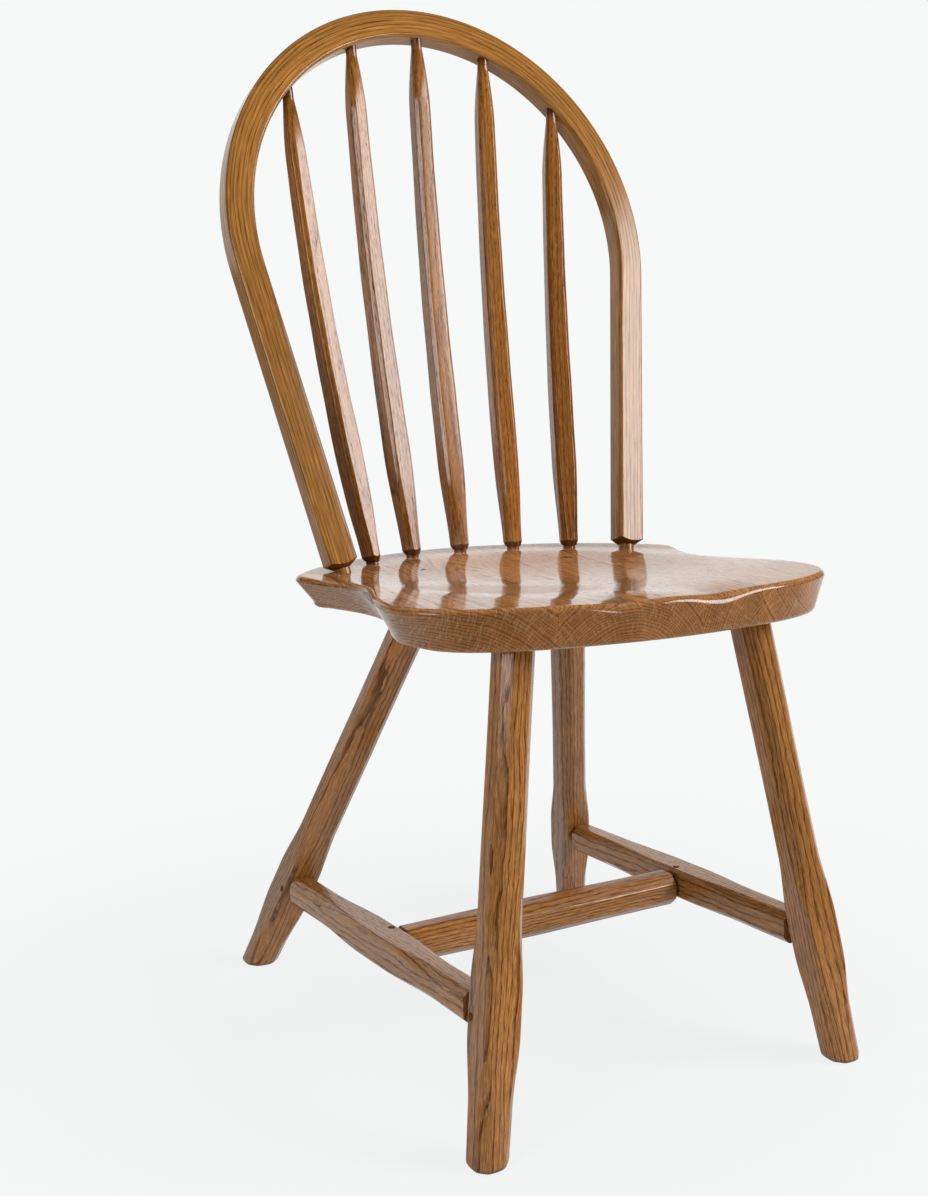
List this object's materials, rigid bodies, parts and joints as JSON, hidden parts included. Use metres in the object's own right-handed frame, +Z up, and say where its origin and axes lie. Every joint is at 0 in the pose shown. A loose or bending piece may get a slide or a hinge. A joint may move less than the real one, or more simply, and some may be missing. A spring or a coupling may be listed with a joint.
{
  "type": "hoop-back dining chair",
  "caption": "Wooden hoop-back dining chair with bowed square spindles, a saddled board seat, splayed chamfered legs and an H stretcher locked with pins.",
  "frame": {"origin": "on the floor, midway between the sides and between the foremost and rearmost points", "axes": "+Z up, the chair faces -Y, +X is on the right as one looks at its front"},
  "size_m": [0.4742, 0.5132, 0.9934],
  "materials": {
    "seat_oak": "stained oak under satin lacquer",
    "hoop_oak": "stained oak under satin lacquer",
    "spindle_oak": "stained oak under satin lacquer",
    "leg_oak": "stained oak under satin lacquer",
    "stretcher_oak": "stained oak under satin lacquer",
    "pin_oak": "stained oak under satin lacquer"
  },
  "bodies": {
    "root": {"seat_board_1": "seat_oak", "seat_board_2": "seat_oak", "seat_board_3": "seat_oak", "seat_board_4": "seat_oak", "hoop": "hoop_oak", "spindle_1": "spindle_oak", "spindle_2": "spindle_oak", "spindle_3": "spindle_oak", "spindle_4": "spindle_oak", "spindle_5": "spindle_oak", "leg_front_left": "leg_oak", "leg_front_right": "leg_oak", "leg_rear_left": "leg_oak", "leg_rear_right": "leg_oak", "side_stretcher_left": "stretcher_oak", "side_stretcher_right": "stretcher_oak", "cross_stretcher": "stretcher_oak", "leg_pin_front_left": "pin_oak", "leg_pin_front_right": "pin_oak", "leg_pin_rear_left": "pin_oak", "leg_pin_rear_right": "pin_oak", "stretcher_pin_left": "pin_oak", "stretcher_pin_right": "pin_oak"}
  },
  "joints": []
}
